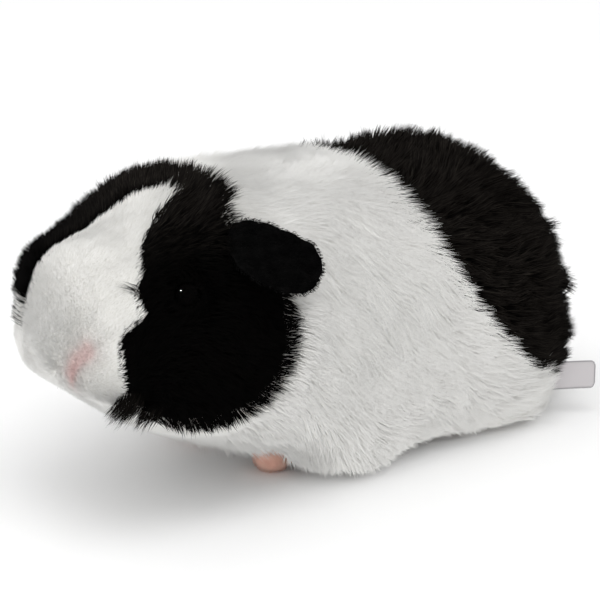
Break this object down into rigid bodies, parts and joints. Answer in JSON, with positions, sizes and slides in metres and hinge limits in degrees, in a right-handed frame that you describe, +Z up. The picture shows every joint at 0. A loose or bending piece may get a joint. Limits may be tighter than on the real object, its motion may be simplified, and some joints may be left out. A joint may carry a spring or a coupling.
{
  "type": "plush toy guinea pig",
  "caption": "Stuffed plush toy in the shape of a guinea pig lying on its belly, with a soft furry black and white coat, velvet ears and small felt paws.",
  "frame": {"origin": "on the floor, on the flat of the belly, under the middle of the body", "axes": "+Z up; the body lies along X with the nose towards -X; -Y is the toy's left side"},
  "size_m": [0.312, 0.1761, 0.1428],
  "materials": {
    "white_plush": "long soft white pile, matt",
    "black_plush": "long soft black pile, slight sheen",
    "black_velvet": "short velvet nap",
    "pink_felt": "short brushed felt",
    "black_plastic": "polished",
    "satin_label": "smooth woven satin, blank"
  },
  "bodies": {
    "root": {"head": "white_plush", "cheek_left": "black_plush", "cheek_right": "black_plush", "trunk": "white_plush", "rump": "black_plush", "leg_front_left": "white_plush", "leg_front_right": "white_plush", "leg_hind_left": "white_plush", "leg_hind_right": "white_plush", "paw_front_left": "pink_felt", "paw_front_right": "pink_felt", "paw_hind_left": "pink_felt", "paw_hind_right": "pink_felt", "ear_left": "black_velvet", "ear_right": "black_velvet", "eye_left": "black_plastic", "eye_right": "black_plastic", "care_label": "satin_label"}
  },
  "joints": []
}
